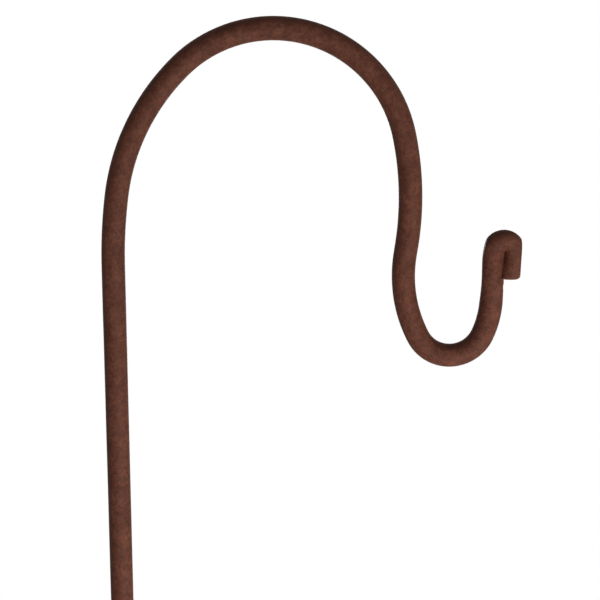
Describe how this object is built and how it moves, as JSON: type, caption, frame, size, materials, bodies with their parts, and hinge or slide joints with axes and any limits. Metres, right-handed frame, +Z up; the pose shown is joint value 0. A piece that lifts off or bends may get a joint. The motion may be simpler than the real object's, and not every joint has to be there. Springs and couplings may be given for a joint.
{
  "type": "shepherds hook",
  "caption": "Tall shepherds hook: a bent bar with a wide arch and a small open hook, height-adjustable in a tube that stands in the soil on a spike and prongs.",
  "frame": {"origin": "on the pole's axis at ground level, where the pole tube meets its ground spike", "axes": "+Z up along the pole, +X the way the crook reaches, -Y the side that the wing screw faces"},
  "size_m": [0.2626, 0.0842, 1.219],
  "materials": {
    "bar_coat": "fine-textured rust-brown powder coat, low sheen",
    "pole_coat": "fine-textured rust-brown powder coat, low sheen",
    "zinc_plate": "bright zinc plating on a rolled thread",
    "wing_plastic": "moulded black nylon, fine grain"
  },
  "bodies": {
    "pole": {"pole_tube": "pole_coat", "ground_spike": "pole_coat", "plug_welds": "pole_coat", "prong_front_left": "pole_coat", "prong_front_right": "pole_coat", "prong_back_left": "pole_coat", "prong_back_right": "pole_coat", "prong_welds": "pole_coat"},
    "collar": {"stop_collar": "pole_coat"},
    "crook": {"crook_bar": "bar_coat"},
    "shank": {"screw_shank": "zinc_plate"},
    "wings": {"screw_wings": "wing_plastic"}
  },
  "joints": [
    {"name": "crook_turn", "type": "hinge", "parent": "pole", "child": "collar", "pos_m": [0, 0, 0.56], "axis": [0, 0, 1], "continuous": true},
    {"name": "crook_height", "type": "slide", "parent": "collar", "child": "crook", "axis": [0, 0, 1], "range_m": [-0.25, 0.175]},
    {"name": "screw_travel", "type": "slide", "parent": "collar", "child": "shank", "axis": [0, -1, 0], "range_m": [0, 0.003]},
    {"name": "screw_turn", "type": "hinge", "parent": "shank", "child": "wings", "pos_m": [0, 0, 0.56705], "axis": [0, -1, 0], "range_deg": [0, 1080]}
  ],
  "couplings": [
    {"joint": "screw_travel", "follows": "screw_turn", "m_per_rad": 0.00015915}
  ]
}
